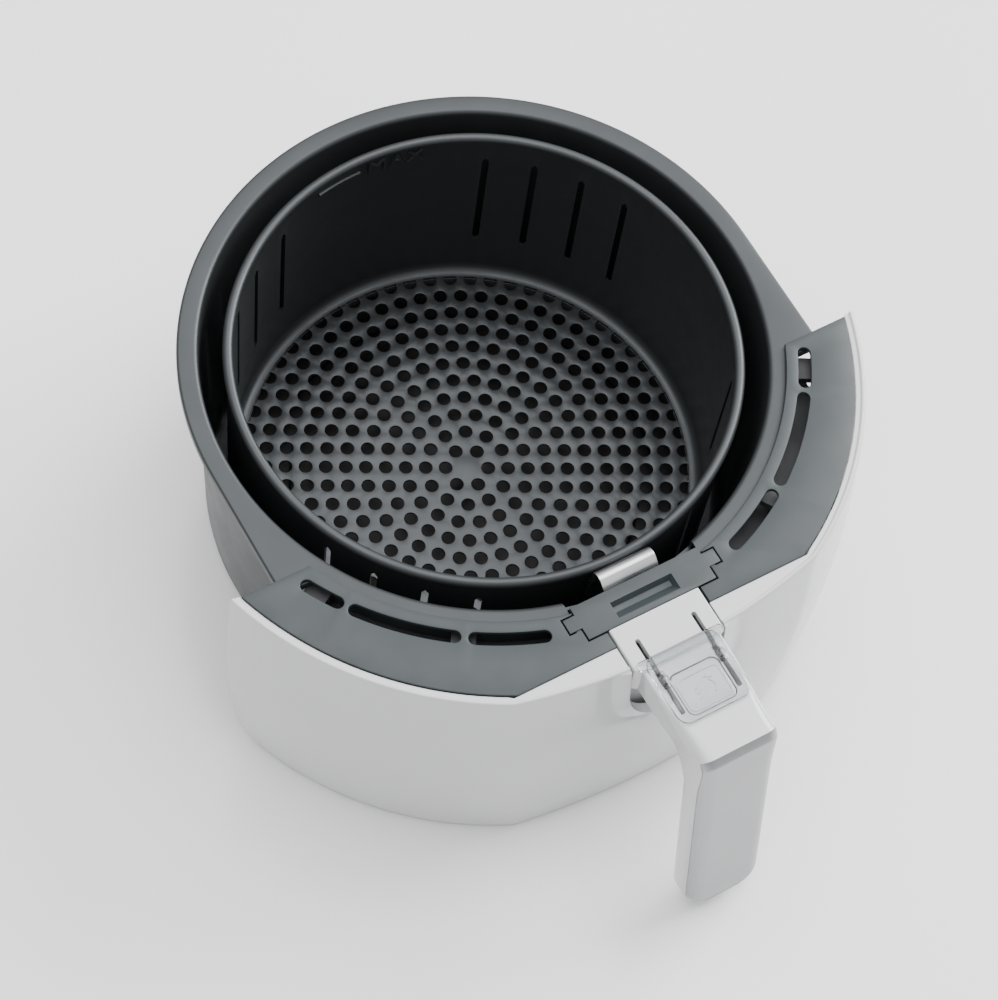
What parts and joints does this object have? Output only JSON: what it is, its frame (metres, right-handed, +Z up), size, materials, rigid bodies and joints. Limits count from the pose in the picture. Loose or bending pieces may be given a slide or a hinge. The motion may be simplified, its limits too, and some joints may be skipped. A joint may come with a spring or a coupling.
{
  "type": "deep fryer drawer",
  "caption": "Drawer of a hot-air deep fryer: round pan, perforated lift-out basket, curved front panel and grip with a guarded release button.",
  "frame": {"origin": "centre of the pan's flat underside, on the common axis of pan and basket", "axes": "+Z up along the pan's axis; the handle points along -Y; +X is on the right of someone who holds the handle and faces the basket"},
  "size_m": [0.2694, 0.3151, 0.1125],
  "materials": {
    "coated_metal": "satin black non-stick coating on pressed sheet",
    "dark_plastic": "fine moulded texture, dark grey",
    "frame_plastic": "plain moulded, dark grey",
    "white_plastic": "glossy white moulding",
    "silver_plastic": "satin silver-grey coating",
    "steel": "brushed stainless strip and plated fasteners",
    "clear_plastic": "clear moulding"
  },
  "bodies": {
    "drawer": {"pan": "coated_metal", "deck_cover": "dark_plastic", "fascia": "white_plastic", "front_frame": "frame_plastic", "latch_keeper": "steel", "keeper_screw_left": "steel", "keeper_screw_right": "steel", "deck_screw_1": "steel", "deck_screw_2": "steel", "deck_screw_3": "steel", "deck_screw_4": "steel", "fascia_screw_1": "steel", "fascia_screw_2": "steel", "fascia_screw_3": "steel", "fascia_screw_4": "steel"},
    "basket_unit": {"basket": "coated_metal", "basket_strap": "steel", "strap_rivet_upper": "steel", "strap_rivet_lower": "steel", "bridge_cover": "dark_plastic", "handle_shell": "white_plastic", "grip_insert": "silver_plastic", "neck_underplate": "white_plastic", "strap_screw_left": "steel", "strap_screw_right": "steel", "underplate_screw_left": "steel", "underplate_screw_right": "steel", "latch_pin": "steel", "button_spring": "steel"},
    "guard": {"slide_guard": "clear_plastic"},
    "button": {"release_button": "white_plastic"},
    "lever": {"latch_lever": "steel"}
  },
  "joints": [
    {"name": "basket_lift", "type": "slide", "parent": "drawer", "child": "basket_unit", "axis": [0, 0, 1], "range_m": [0, 0.12]},
    {"name": "guard_slide", "type": "slide", "parent": "basket_unit", "child": "guard", "axis": [0, 1, 0], "range_m": [0, 0.017]},
    {"name": "button_press", "type": "slide", "parent": "basket_unit", "child": "button", "axis": [0, 0, -1], "range_m": [0, 0.0025], "stiffness_N_per_m": 800, "deforming": ["button_spring"]},
    {"name": "lever_tilt", "type": "hinge", "parent": "basket_unit", "child": "lever", "pos_m": [0, -0.1349, 0.101], "axis": [1, 0, 0], "range_deg": [0, 6.9]}
  ],
  "couplings": [
    {"joint": "lever_tilt", "follows": "button_press", "rad_per_m": 47.619}
  ]
}
